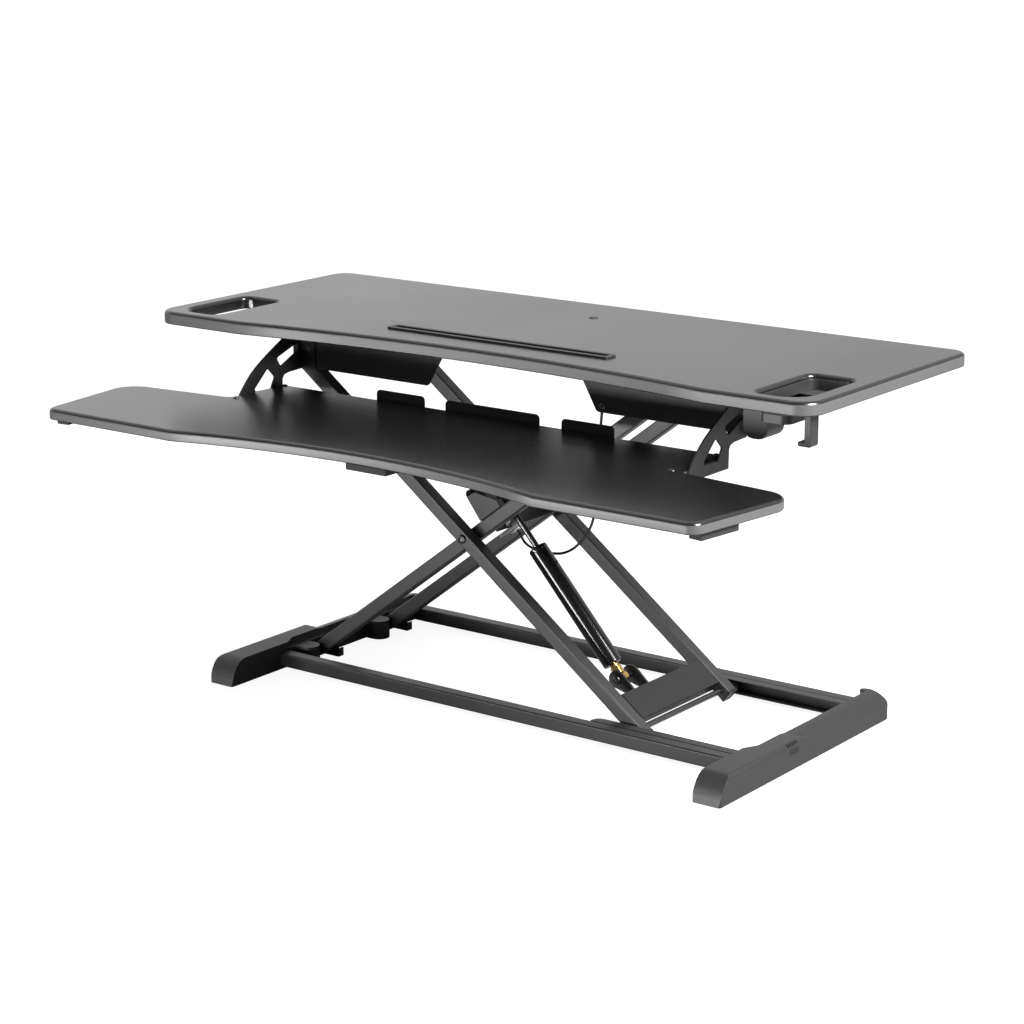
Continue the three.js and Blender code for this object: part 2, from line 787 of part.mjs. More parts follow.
// Plate across the lower ends of the outer arms; its two ears form the spring's clevis
function crossPlate() {
  const under = plateTop - crossSheet;
  const span = [seat - outerInside, outerInside - seat];
  const plate = box([crossStart, crossEnd], span, [under, plateTop]);
  const lip = box([crossEnd - crossSheet, crossEnd], span, [plateTop - crossLip, plateTop]);
  const ear = new THREE.Shape();
  ear.absarc(clevisReach, springLowerRise, clevisRadius, Math.PI / 2, 3 * Math.PI / 2, false);
  ear.lineTo(crossStart + clevisRoot, under);
  ear.lineTo(crossStart + clevisRoot, plateTop);
  ear.lineTo(crossStart, plateTop);
  const ears = [[clevisFront, clevisFront + clevisSheet], [clevisRear - clevisSheet, clevisRear]]
    .map((stations) => alongY(ear, stations));
  const bore = pin(pinHole, clevisReach, springLowerRise, [clevisFront - overrun, clevisRear + overrun]);
  return cut(join(plate, lip, ...ears), bore);
}

function hexBolt(x, z, head, nut) {
  const out = Math.sign(head - nut);
  return join(
    pin(pinHeadDiameter, x, z, [head, head + out * boltHeadHeight], 6),
    pin(pinDiameter, x, z, [head, nut - out * nutHeight]),
    pin(pinHeadDiameter, x, z, [nut, nut - out * nutHeight], 6));
}

function centreBolt(face) {
  const spacer = pin(spacerDiameter, 0, 0, [face * (innerHalfWidth + seat), face * (outerInside - seat)]);
  return join(hexBolt(0, 0, face * (outerOutside + seat), face * (innerInside - seat)), spacer);
}

function armCap(face) {
  const end = armReach / 2 + armOverhang + seat;
  const half = armTube / 2;
  const bore = half - armWall - seat;
  const middle = face * (outerInside + half);
  return join(
    box([end, end + armCapSheet], [middle - half, middle + half], [-half, half]),
    box([end - armCapPlug, end], [middle - bore, middle + bore], [-bore, bore]));
}

function buildOuterFrame() {
  const outer = armFrame(liftAngle);
  place(outer, 'outer_arm_front', arm(-outerOutside), powderCoat);
  place(outer, 'outer_arm_rear', arm(outerInside), powderCoat);
  place(outer, 'outer_cross_plate', crossPlate(), powderCoat);
  place(outer, 'lower_roller_shaft', pin(pinDiameter, armReach / 2, 0, [-rollerOutside, rollerOutside]), darkSteel);
  place(outer, 'clevis_pin',
    hexBolt(clevisReach, springLowerRise, clevisFront - seat, clevisRear + seat), darkSteel);
  for (const [end, face] of Object.entries(faces)) {
    place(outer, `lower_roller_${end}`, roller(face, rollerOutside), plastic);
    place(outer, `arm_end_cap_${end}`, armCap(face), plastic);
    place(outer, `centre_bolt_${end}`, centreBolt(face), darkSteel);
  }
}

// Spring: its own frame stands on the lower pin, with Z towards the upper pivot
function buildSpring() {
  const lower = new THREE.Vector2(
    centreX + clevisReach * cos + springLowerRise * sin, centreZ - clevisReach * sin + springLowerRise * cos);
  const upper = new THREE.Vector2(
    centreX + springUpperReach * cos - springUpperRise * sin,
    centreZ + springUpperReach * sin + springUpperRise * cos);
  const axis = upper.clone().sub(lower);
  const frame = new THREE.Group();
  frame.position.set(lower.x, springPlane, lower.y);
  frame.rotation.y = Math.atan2(axis.x, axis.y);
  converter.add(frame);
  const top = springStart + springLength;
  const rodBottom = top - rodInside;
  const headBottom = axis.length() + headAbove - headLength;
  const eye = cut(
    join(
      pin(eyeDiameter, 0, 0, [-eyeWidth / 2, eyeWidth / 2]),
      post(hexWidth, 0, 0, [eyeDiameter / 2 - pinPlay, springStart - seat], 6)),
    pin(pinHole, 0, 0, [-eyeWidth, eyeWidth]));
  const cylinder = cut(
    post(springDiameter, 0, 0, [springStart, top]),
    post(springBore, 0, 0, [springStart + springBase, top + overrun]));
  const head = cut(
    post(headDiameter, 0, 0, [headBottom, headBottom + headLength]),
    pin(pinHole, 0, axis.length(), [-headDiameter, headDiameter]));
  place(frame, 'rod_end_fitting', eye, brass);
  place(frame, 'gas_cylinder', cylinder, glossPaint);
  place(frame, 'gas_rod', post(rodDiameter, 0, 0, [rodBottom, headBottom - seat]), darkSteel);
  place(frame, 'rod_head', head, plastic);
}

// Desktop with its two hand holes, the slot's trim and the blanking plug
function handHole(side, inset) {
  return outline([
    [side * (handHoleInner + inset), handHoleFront + inset, handHoleCorner - inset],
    [side * (handHoleOuter - inset), handHoleFront + inset, handHoleOuterCorner - inset],
    [side * (handHoleOuter - inset), handHoleFront + handHoleLength - inset, handHoleCorner - inset],
    [side * (handHoleInner + inset), handHoleFront + handHoleLength - inset, handHoleCorner - inset],
  ]);
}

function slotOutline(inset) {
  const front = deskFront + slotSetback;
  return outline(rectangle(
    [inset - slotLength / 2, slotLength / 2 - inset], [front + inset, front + slotWidth - inset],
    slotCorner - inset / 2));
}

function desktop() {
  const board = alongZ(outline([
    [-deskHalf, deskFront, deskFrontCorner], ...bow(deskCurveHalf, deskFront, deskCurveDepth),
    [deskHalf, deskFront, deskFrontCorner], [deskHalf, deskBack, deskBackCorner],
    [-deskHalf, deskBack, deskBackCorner],
  ]), [deskUnder, deskTop], boardSteps);
  const through = [deskUnder - overrun, deskTop + overrun];
  const rebate = [deskTop - topRebate, deskTop + overrun];
  return cut(board,
    alongZ(handHole(sides.left, 0), through),
    alongZ(handHole(sides.right, 0), through),
    alongZ(slotOutline(-seat), rebate, cornerSteps),
    alongZ(slotOutline(slotRim - seat), through, cornerSteps),
    post(plugHeadDiameter + 2 * seat, 0, deskBack - plugSetback, rebate),
    post(plugDiameter, 0, deskBack - plugSetback, through));
}

function slotTrim() {
  const floor = deskTop - slotDepth;
  return cut(
    join(
      alongZ(slotOutline(0), [deskTop - topRebate + seat, deskTop + slotRaise], cornerSteps),
      alongZ(slotOutline(slotRim), [floor, deskTop + slotRaise], cornerSteps)),
    alongZ(slotOutline(slotRim + slotWall), [floor + slotWall, deskTop + slotRaise + overrun], cornerSteps));
}

function holePlug() {
  const y = deskBack - plugSetback;
  const shoulder = deskTop - topRebate + seat;
  return join(
    post(plugDiameter - 2 * seat, 0, y, [deskTop - plugHeight, shoulder]),
    post(plugHeadDiameter, 0, y, [shoulder, deskTop + plugRaise]));
}

// Rails: the left pair hangs on the outer arms, the right pair is a channel for the upper rollers
function deskRail(side, face) {
  const slantedEnd = deskRailInner + deskRailSlant;
  const plate = alongY(outline([
    [side * deskRailOuter, deskRailBottom, 0], [side * deskRailOuter, underDesk, 0],
    [side * deskRailInner, underDesk, 0], [side * slantedEnd, deskRailBottom, deskRailCorner],
  ]), [face * deskRailInside, face * deskRailOutside]);
  const flange = box([side * deskRailInner, side * deskRailOuter],
    [face * deskRailOutside, face * (deskRailOutside - deskRailFlange)], [underDesk - deskRailSheet, underDesk]);
  if (side < 0) {
    const bore = pin(pinHole, pivotX, hingeZ, [face * (deskRailInside - overrun), face * (deskRailOutside + overrun)]);
    return cut(join(plate, flange), bore);
  }
  const upperLip = hingeZ + rollerDiameter / 2 + rollerPlay;
  const lips = [[deskRailBottom, deskRailBottom + deskRailSheet], [upperLip, upperLip + deskRailSheet]]
    .map((heights) => box([slantedEnd + channelLipInset, deskRailOuter],
      [face * deskRailOutside, face * (deskRailInside - channelLip)], heights));
  return join(plate, flange, ...lips);
}

function upperPivotBolt(face) {
  const head = deskRailOutside + seat;
  const nut = outerInside - seat;
  return join(
    pin(hingeHeadDiameter, pivotX, hingeZ, [face * head, face * (head + pinHeadHeight)]),
    pin(pinDiameter, pivotX, hingeZ, [face * head, face * (nut - nutHeight)]),
    pin(pinHeadDiameter, pivotX, hingeZ, [face * nut, face * (nut - nutHeight)], 6));
}

function hangerPoint([reach, rise]) {
  return new THREE.Vector2(
    hangerBack - reach * hangerReach, hangerBottom + rise * (underDesk - hangerBottom));
}

function hangerPlate() {
  const plate = new THREE.Shape();
  const front = hangerFrontShares.map(hangerPoint);
  plate.moveTo(front[0].x, front[0].y);
  plate.splineThru(front.slice(1));
  hangerRearShares.map(hangerPoint).forEach((point) => plate.lineTo(point.x, point.y));
  return plate;
}

function hangerWindow(shares, stations) {
  const corners = shares.map(hangerPoint).map(({ x, y }) => [x, y, hangerHoleCorner]);
  return alongX(outline(corners), stations, cornerSteps);
}

function trayHanger(side) {
  const flangeFoot = hangerBottom + hangerFlangeFootShare * (underDesk - hangerBottom);
  const through = [side * (hangerInner - overrun), side * (hangerOuter + overrun)];
  const plate = cut(alongX(hangerPlate(), [side * hangerInner, side * hangerOuter]),
    hangerWindow(hangerTriangleShares, through), hangerWindow(hangerSlotShares, through));
  const rear = box([side * (hangerOuter - hangerFlange), side * hangerOuter],
    [hangerBack, hangerBack - deskRailSheet], [flangeFoot, underDesk]);
  const foot = box([side * (hangerOuter - hangerFlange), side * hangerOuter],
    [hangerBack - hangerFootReach, trayBack], [hangerBottom, hangerBottom + hangerFootSheet]);
  return join(plate, rear, foot);
}

// Lower tray with the stop plate behind it and the feet under it
function trayOutline() {
  const right = [
    [trayFrontHalf, trayFront, trayFrontCorner], [trayWingHalf, trayWingBack, trayWingCorner],
    [trayNeckHalf, trayNeckBack, trayNeckCorner], [trayNeckHalf, trayBack, trayRearCorner],
  ];
  const left = right.toReversed().map(([x, y, radius]) => [-x, y, radius]);
  return outline([...bow(trayKink, trayFront, trayCurveDepth), ...right, ...left]);
}

function stopPlate() {
  const front = trayBack + seat;
  const strip = trayTop - stopStripDrop;
  const top = trayTop + stopTabHeight;
  const inner = stopCentreHalf + stopTabGap;
  const tabs = [[-stopCentreHalf, stopCentreHalf], [inner, inner + stopTabWidth], [-inner, -inner - stopTabWidth]]
    .map((xs) => {
      const [x0, x1] = ordered(xs);
      return alongY(outline([
        [x0, trayUnder, 0], [x1, trayUnder, 0], [x1, top, stopTabCorner], [x0, top, stopTabCorner],
      ]), [front, front + stopSheet], cornerSteps);
    });
  const end = inner + stopTabWidth;
  return join(box([-end, end], [front, front + stopSheet], [trayUnder, strip]), ...tabs);
}

function traySideFoot(side) {
  const lean = Math.atan2(trayWingHalf - trayFrontHalf, trayWingDepth);
  const edge = new THREE.Vector2(Math.sin(lean), Math.cos(lean));
  const inward = new THREE.Vector2(-edge.y, edge.x);
  const corner = new THREE.Vector2(trayFrontHalf, trayFront);
  const place2d = (along, across) => {
    const point = corner.clone().addScaledVector(edge, along).addScaledVector(inward, across);
    return [side * point.x, point.y, 0];
  };
  const far = trayFootInset + trayFootWidth;
  const end = trayFootSetback + trayFootLength;
  return alongZ(outline([
    place2d(trayFootSetback, trayFootInset), place2d(end, trayFootInset),
    place2d(end, far), place2d(trayFootSetback, far),
  ]), [trayUnder - trayFootHeight, trayUnder - seat]);
}

function trayCentreFoot() {
  const front = trayFront + trayCurveDepth + centreFootSetback;
  return box([-centreFootWidth / 2, centreFootWidth / 2], [front, front + centreFootDepth],
    [trayUnder - trayFootHeight, trayUnder - seat]);
}

// Squeeze lever: it swings in a housing that also lines the hand hole
function leverHousing(side) {
  const outer = housingInner + housingWidth;
  const block = alongY(outline([
    [side * housingInner, deskUnder - housingDrop, housingCorner],
    [side * outer, deskUnder - housingDrop, housingCorner],
    [side * outer, underDesk, 0], [side * housingInner, underDesk, 0],
  ]), [housingFront, housingFront + housingDepth], cornerSteps);
  const liner = cut(
    join(
      alongZ(handHole(side, -linerRim), [underDesk - linerRimSheet, underDesk]),
      alongZ(handHole(side, seat), [deskUnder - linerBelow, deskUnder + linerAbove])),
    alongZ(handHole(side, seat + linerWall), [deskUnder - linerBelow - overrun, deskTop]));
  const armHalf = leverArmWidth / 2 + leverPlay;
  const pocket = box([side * (leverPivotX - leverArmHeight), side * (outer + overrun)],
    [leverMiddle - armHalf, leverMiddle + armHalf],
    [leverBottom - leverPlay, leverBottom + leverArmHeight + leverSwing]);
  const bore = pin(trunnionDiameter + 2 * pinPlay, side * leverPivotX, leverPivotZ,
    [leverMiddle - armHalf - trunnionLength, leverMiddle + armHalf + trunnionLength]);
  return cut(join(block, liner), pocket, bore);
}

function releaseLever(side) {
  const inner = handHoleInner + leverInset;
  const front = handHoleFront + leverFrontInset;
  const paddle = alongZ(outline([
    [side * inner, front, leverCorner / 2], [side * (inner + leverWidth), front, leverCorner],
    [side * (inner + leverWidth), front + leverLength, leverCorner],
    [side * inner, front + leverLength, leverCorner / 2],
  ]), [leverBottom, leverTop], cornerSteps);
  const armStations = [leverMiddle - leverArmWidth / 2, leverMiddle + leverArmWidth / 2];
  const shank = box([side * leverPivotX, side * (inner + leverInset)], armStations,
    [leverBottom, leverBottom + leverArmHeight]);
  const knuckle = pin(leverArmHeight, side * leverPivotX, leverPivotZ, armStations);
  const trunnions = pin(trunnionDiameter, side * leverPivotX, leverPivotZ,
    [armStations[0] - trunnionLength, armStations[1] + trunnionLength]);
  return join(paddle, shank, knuckle, trunnions);
}

function headsetHook() {
  const outer = deskHalf - hookInset;
  const inner = outer - hookWidth;
  const bottom = deskUnder - hookDrop;
  const front = deskFront + hookSetback;
  return alongY(outline([
    [outer, underDesk, 0], [inner, underDesk, 0], [inner, bottom + hookTipHeight, 0],
    [inner - hookTip, bottom + hookTipHeight, 0], [inner - hookTip, bottom, hookTipHeight / 2],
    [outer, bottom, hookTipHeight / 2],
  ]), [front, front + hookDepth], cornerSteps);
}

function buildPlatform() {
  place(converter, 'desktop', desktop(), laminate);
  place(converter, 'tablet_slot_trim', slotTrim(), plastic);
  place(converter, 'hole_plug', holePlug(), plastic);
  place(converter, 'keyboard_tray', alongZ(trayOutline(), [trayUnder, trayTop], boardSteps), laminate);
  place(converter, 'tray_stop_plate', stopPlate(), powderCoat);
  place(converter, 'tray_centre_foot', trayCentreFoot(), rubber);
  place(converter, 'right_lever_housing', leverHousing(sides.right), plastic);
  place(converter, 'right_release_lever', releaseLever(sides.right), plastic);
  place(converter, 'headset_hook', headsetHook(), plastic);
  for (const [end, face] of Object.entries(faces)) {
    place(converter, `upper_pivot_bolt_${end}`, upperPivotBolt(face), darkSteel);
  }
  for (const [name, side] of Object.entries(sides)) {
    place(converter, `${name}_tray_hanger`, trayHanger(side), powderCoat);
    place(converter, `${name}_tray_foot`, traySideFoot(side), rubber);
    for (const [end, face] of Object.entries(faces)) {
      place(converter, `${name}_${end}_desk_rail`, deskRail(side, face), powderCoat);
    }
  }
}

// Cable: straight out of the lever's bracket, through the route and into the back of the right housing
function buildCable() {
  const reach = bracketStart + bracketSheet + valveCheekLength / 2;
  const under = -bracketBelow - valveShelfDrop - seat;
  const start = new THREE.Vector3(
    centreX + reach * cos - under * sin, valvePlane, centreZ + reach * sin + under * cos);
  const end = new THREE.Vector3(housingInner + housingWidth / 2,
    housingFront + housingDepth + seat, deskUnder - housingDrop + cableEntryRise);
  const lead = new THREE.Vector3(sin, 0, -cos).multiplyScalar(cableLead).add(start);
  const entry = new THREE.Vector3(0, cableLead, 0).add(end);
  const route = new THREE.CatmullRomCurve3([
    start, lead, ...cableRoute.map((point) => new THREE.Vector3(...point)), entry, end]);
  const section = new THREE.Shape(Array.from({ length: cableSides }, (_, side) => {
    const angle = side / cableSides * 2 * Math.PI;
    return new THREE.Vector2(Math.cos(angle), Math.sin(angle)).multiplyScalar(cableDiameter / 2);
  }));
  const tube = new THREE.ExtrudeGeometry(section, { steps: cableSteps, extrudePath: route });
  place(converter, 'release_cable', toSolid(tube), rubber);
}

buildBase();
buildInnerFrame();
buildOuterFrame();
buildSpring();
buildPlatform();
buildCable();
converter.position.y = -(trayFront + footRear) / 2;

export default converter;
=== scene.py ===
import json
import math

import bmesh
import bpy
from mathutils import Matrix, Vector


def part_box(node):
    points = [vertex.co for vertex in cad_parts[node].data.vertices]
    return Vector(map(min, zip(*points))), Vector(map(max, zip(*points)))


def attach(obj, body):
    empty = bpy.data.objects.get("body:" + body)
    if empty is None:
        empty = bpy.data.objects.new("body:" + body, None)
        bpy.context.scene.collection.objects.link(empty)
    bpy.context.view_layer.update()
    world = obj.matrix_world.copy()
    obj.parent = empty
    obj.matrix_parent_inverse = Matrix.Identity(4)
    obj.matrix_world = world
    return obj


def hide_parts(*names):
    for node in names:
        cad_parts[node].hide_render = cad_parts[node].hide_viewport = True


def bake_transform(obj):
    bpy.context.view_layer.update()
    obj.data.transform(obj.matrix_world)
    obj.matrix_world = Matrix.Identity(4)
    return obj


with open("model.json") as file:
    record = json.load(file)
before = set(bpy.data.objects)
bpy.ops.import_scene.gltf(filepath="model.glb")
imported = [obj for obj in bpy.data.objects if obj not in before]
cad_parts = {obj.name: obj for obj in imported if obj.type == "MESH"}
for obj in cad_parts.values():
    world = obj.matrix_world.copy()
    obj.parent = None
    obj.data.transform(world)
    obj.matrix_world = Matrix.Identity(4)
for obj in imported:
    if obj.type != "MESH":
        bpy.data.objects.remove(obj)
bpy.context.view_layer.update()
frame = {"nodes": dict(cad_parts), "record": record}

# Lengths are in millimetres, and are turned into metres where a mesh is made. Only the floor's size, the
# lights' places and the camera's clipping are in metres.
MM = 0.001
WELD = 0.002 * MM
FLAT = math.radians(0.4)
CREASE = math.radians(33)
HARD = math.radians(55)
TURN = 2 * math.pi
ROUND_STEPS = 48

record = frame["record"]
BODY = {node: body for body, nodes in record["behaviour"]["bodies"].items() for node in nodes}
SLOT = {part["node"]: part["material_slot"] for part in record["subparts"]}


# Stations taken from the frame: the mid-plane of the arms, their crossing, and their tilt as shown
def middle(node):
    low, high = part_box(node)
    return (low + high) / 2 / MM


JOINT = {joint["name"]: joint for joint in record["behaviour"]["joints"]}
MID = (middle("inner_arm_front").y + middle("inner_arm_rear").y) / 2
CROSSING = middle("centre_bolt_front")
LOW_PIVOT = middle("front_pivot_pin")
TILT = math.atan2(CROSSING.z - LOW_PIVOT.z, CROSSING.x - LOW_PIVOT.x)

# The frames in which pieces are placed: along the outer arms, upright, and along the gas spring
OUTER = Matrix.Translation((CROSSING.x * MM, MID * MM, CROSSING.z * MM)) @ Matrix.Rotation(TILT, 4, "Y")
WORLD = Matrix.Translation((0, MID * MM, 0))
SPRING_AXIS = Vector(JOINT["rod_stroke"]["axis"])
SPRING = Matrix.Translation(JOINT["cylinder_swing"]["pos_m"]) @ Matrix.Rotation(
    math.atan2(SPRING_AXIS.x, SPRING_AXIS.z), 4, "Y")


# Shader groups shared by the finishes
def shader_group(name, inputs, outputs):
    group = bpy.data.node_groups.new(name, "ShaderNodeTree")
    for label, kind, value in inputs:
        socket = group.interface.new_socket(name=label, in_out="INPUT", socket_type=kind)
        socket.default_value = value
    for label, kind in outputs:
        group.interface.new_socket(name=label, in_out="OUTPUT", socket_type=kind)
    start = group.nodes.new("NodeGroupInput")
    end = group.nodes.new("NodeGroupOutput")
    return group, start, end


def add(tree, kind, links=None, **settings):
    """A node with its settings, and its inputs either linked to a socket or set to a value."""
    node = tree.nodes.new(kind)
    for key, value in settings.items():
        setattr(node, key, value)
    for key, value in (links or {}).items():
        if isinstance(value, bpy.types.NodeSocket):
            tree.links.new(value, node.inputs[key])
        else:
            node.inputs[key].default_value = value
    return node


DUST_COLOUR = (0.35, 0.34, 0.33, 1)
DUST_GRAIN = 260
LINE_GRAIN = 60


def pebble_group():
    group, start, end = shader_group(
        "pebble_texture",
        [("Scale", "NodeSocketFloat", 900), ("Pebbles", "NodeSocketFloat", 0.5)],
        [("Height", "NodeSocketFloat")])
    place = add(group, "ShaderNodeTexCoord")
    noise = add(group, "ShaderNodeTexNoise", {
        "Vector": place.outputs["Object"], "Scale": start.outputs["Scale"], "Detail": 3, "Roughness": 0.6})
    cells = add(group, "ShaderNodeTexVoronoi", {
        "Vector": place.outputs["Object"], "Scale": start.outputs["Scale"], "Randomness": 1},
        feature="SMOOTH_F1")
    height = add(group, "ShaderNodeMix", {
        "Factor": start.outputs["Pebbles"], "A": noise.outputs["Fac"], "B": cells.outputs["Distance"]})
    group.links.new(height.outputs["Result"], end.inputs["Height"])
    return group


def patches_group():
    group, start, end = shader_group(
        "soft_patches",
        [("Size", "NodeSocketFloat", 7), ("Low", "NodeSocketFloat", 0.4), ("High", "NodeSocketFloat", 0.5),
         ("Dark", "NodeSocketColor", (0, 0, 0, 1)), ("Light", "NodeSocketColor", (1, 1, 1, 1))],
        [("Roughness", "NodeSocketFloat"), ("Color", "NodeSocketColor")])
    place = add(group, "ShaderNodeTexCoord")
    noise = add(group, "ShaderNodeTexNoise", {
        "Vector": place.outputs["Object"], "Scale": start.outputs["Size"], "Detail": 5, "Roughness": 0.55})
    rough = add(group, "ShaderNodeMapRange", {
        "Value": noise.outputs["Fac"], "From Min": 0.3, "From Max": 0.7,
        "To Min": start.outputs["Low"], "To Max": start.outputs["High"]})
    tint = add(group, "ShaderNodeMix", {
        "Factor": noise.outputs["Fac"], "A": start.outputs["Dark"], "B": start.outputs["Light"]},
        data_type="RGBA")
    group.links.new(rough.outputs["Result"], end.inputs["Roughness"])
    group.links.new(tint.outputs["Result"], end.inputs["Color"])
    return group


def dust_group():
    group, start, end = shader_group(
        "settled_dust",
        [("Color", "NodeSocketColor", (0, 0, 0, 1)), ("Amount", "NodeSocketFloat", 0.1)],
        [("Color", "NodeSocketColor")])
    place = add(group, "ShaderNodeTexCoord")
    facing = add(group, "ShaderNodeSeparateXYZ", {"Vector": place.outputs["Normal"]})
    up = add(group, "ShaderNodeMapRange", {
        "Value": facing.outputs["Z"], "From Min": 0.6, "From Max": 1.0, "To Min": 0.0, "To Max": 1.0})
    noise = add(group, "ShaderNodeTexNoise", {
        "Vector": place.outputs["Object"], "Scale": DUST_GRAIN, "Detail": 6, "Roughness": 0.7})
    specks = add(group, "ShaderNodeMapRange", {
        "Value": noise.outputs["Fac"], "From Min": 0.45, "From Max": 0.8, "To Min": 0.0, "To Max": 1.0})
    both = add(group, "ShaderNodeMath", {0: up.outputs["Result"], 1: specks.outputs["Result"]},
               operation="MULTIPLY")
    mask = add(group, "ShaderNodeMath", {0: both.outputs["Value"], 1: start.outputs["Amount"]},
               operation="MULTIPLY")
    tint = add(group, "ShaderNodeMix", {
        "Factor": mask.outputs["Value"], "A": start.outputs["Color"], "B": DUST_COLOUR},
        data_type="RGBA")
    group.links.new(tint.outputs["Result"], end.inputs["Color"])
    return group


def brushed_group():
    group, start, end = shader_group(
        "brushed_lines",
        [("Stretch", "NodeSocketVector", (1, 1, 1)), ("Low", "NodeSocketFloat", 0.2),
         ("High", "NodeSocketFloat", 0.4)],
        [("Roughness", "NodeSocketFloat"), ("Height", "NodeSocketFloat")])
    place = add(group, "ShaderNodeTexCoord")
    stretched = add(group, "ShaderNodeVectorMath", {
        0: place.outputs["Object"], 1: start.outputs["Stretch"]}, operation="MULTIPLY")
    lines = add(group, "ShaderNodeTexNoise", {
        "Vector": stretched.outputs["Vector"], "Scale": LINE_GRAIN, "Detail": 4, "Roughness": 0.6})
    rough = add(group, "ShaderNodeMapRange", {
        "Value": lines.outputs["Fac"], "From Min": 0.3, "From Max": 0.7,
        "To Min": start.outputs["Low"], "To Max": start.outputs["High"]})
    group.links.new(rough.outputs["Result"], end.inputs["Roughness"])
    group.links.new(lines.outputs["Fac"], end.inputs["Height"])
    return group


PEBBLES = pebble_group()
PATCHES = patches_group()
DUST = dust_group()
BRUSHED = brushed_group()


def use(tree, group, values):
    return add(tree, "ShaderNodeGroup", values, node_tree=group)


def grey(level, warmth=0.0):
    return (level * (1 + warmth), level, level * (1 - warmth), 1)


def bare_material(name):
    material = bpy.data.materials.new(name)
    material.use_nodes = True
    tree = material.node_tree
    tree.nodes.clear()
    shader = tree.nodes.new("ShaderNodeBsdfPrincipled")
    output = tree.nodes.new("ShaderNodeOutputMaterial")
    tree.links.new(shader.outputs["BSDF"], output.inputs["Surface"])
    return material, tree, shader


def set_sockets(shader, sockets):
    for key, value in sockets.items():
        shader.inputs[key.replace("_", " ")].default_value = value


def coated(name, dark, light, rough, grain, depth, pebbles=0.5, size=7, dust=0.05, **sockets):
    """Paint, laminate, moulded plastic or rubber: a black with soft patches, a fine texture and some dust."""
    material, tree, shader = bare_material(name)
    patches = use(tree, PATCHES, {
        "Size": size, "Low": rough[0], "High": rough[1], "Dark": dark, "Light": light})
    dusty = use(tree, DUST, {"Color": patches.outputs["Color"], "Amount": dust})
    texture = use(tree, PEBBLES, {"Scale": grain, "Pebbles": pebbles})
    bump = add(tree, "ShaderNodeBump", {
        "Strength": 1, "Distance": depth * MM, "Height": texture.outputs["Height"]})
    tree.links.new(dusty.outputs["Color"], shader.inputs["Base Color"])
    tree.links.new(patches.outputs["Roughness"], shader.inputs["Roughness"])
    tree.links.new(bump.outputs["Normal"], shader.inputs["Normal"])
    set_sockets(shader, sockets)
    return material


def metal(name, dark, light, rough, stretch, depth, size=30):
    """Bare or plated metal with fine lines along its length."""
    material, tree, shader = bare_material(name)
    patches = use(tree, PATCHES, {"Size": size, "Low": 0, "High": 1, "Dark": dark, "Light": light})
    lines = use(tree, BRUSHED, {"Stretch": stretch, "Low": rough[0], "High": rough[1]})
    bump = add(tree, "ShaderNodeBump", {
        "Strength": 1, "Distance": depth * MM, "Height": lines.outputs["Height"]})
    tree.links.new(patches.outputs["Color"], shader.inputs["Base Color"])
    tree.links.new(lines.outputs["Roughness"], shader.inputs["Roughness"])
    tree.links.new(bump.outputs["Normal"], shader.inputs["Normal"])
    shader.inputs["Metallic"].default_value = 1
    return material


FINISH = {
    "powder_coated_steel": coated(
        "powder_coat", grey(0.006), grey(0.009), rough=(0.36, 0.44), grain=1500, depth=0.05,
        pebbles=0.6, dust=0.02, Specular_IOR_Level=0.55),
    "black_laminate": coated(
        "board_laminate", grey(0.005), grey(0.007), rough=(0.22, 0.26), grain=2200, depth=0.01,
        pebbles=0.3, size=4, dust=0.005, Specular_IOR_Level=0.75),
    "moulded_plastic": coated(
        "moulded_plastic", grey(0.014), grey(0.02), rough=(0.4, 0.48), grain=2600, depth=0.03,
        pebbles=0.4, dust=0.04),
    "rubber": coated(
        "black_rubber", grey(0.012), grey(0.018), rough=(0.7, 0.82), grain=1800, depth=0.06,
        pebbles=0.5, dust=0.1),
    "gloss_black_paint": coated(
        "cylinder_paint", grey(0.004), grey(0.006), rough=(0.16, 0.2), grain=600, depth=0.004,
        pebbles=0.2, dust=0.005, Coat_Weight=0.3, Coat_Roughness=0.06),
    "dark_steel": metal(
        "dark_steel", grey(0.1), grey(0.16), rough=(0.28, 0.4), stretch=(1, 14, 1), depth=0.01),
    "zinc_plate": metal(
        "zinc_plate", grey(0.5, 0.01), grey(0.68, 0.02), rough=(0.3, 0.42), stretch=(8, 8, 1), depth=0.01,
        size=160),
    "brass": metal(
        "turned_brass", (0.62, 0.4, 0.13, 1), (0.78, 0.55, 0.22, 1), rough=(0.18, 0.28), stretch=(1, 1, 12),
        depth=0.008),
}
# A lighter copy of the powder coat for the arms: painted light, standing in for the brighter light that falls
# on their front faces.
ARM_COAT_PAINTED_LIGHT = coated(
    "arm_coat_painted_light", grey(0.02), grey(0.027), rough=(0.38, 0.46), grain=1500, depth=0.05,
    pebbles=0.6, dust=0.03, Specular_IOR_Level=0.6)
EDGE_BAND = coated(
    "board_edge", grey(0.075), grey(0.09), rough=(0.34, 0.4), grain=2200, depth=0.01,
    pebbles=0.3, size=4, dust=0.0)
# Near-black: painted shade for the inside of the right foot's slot.
SLOT_SHADOW = coated(
    "socket_shadow", grey(0.006), grey(0.009), rough=(0.6, 0.7), grain=1500, depth=0.02, dust=0.0)


# Making meshes: every piece is a bmesh that ends in metres, in the object's own frame
def welded(node):
    """A copy of a solid's mesh with its loose triangles joined and its flat faces whole."""
    bm = bmesh.new()
    bm.from_mesh(frame["nodes"][node].data)
    bmesh.ops.remove_doubles(bm, verts=bm.verts, dist=WELD)
    bmesh.ops.dissolve_limit(bm, angle_limit=FLAT, verts=bm.verts, edges=bm.edges)
    return bm


def bevel(bm, edges, width, segments=2, clamp=True):
    if edges:
        bmesh.ops.bevel(
            bm, geom=edges, offset=width * MM, offset_type="OFFSET", segments=segments, profile=0.5,
            affect="EDGES", clamp_overlap=clamp, material=-1)


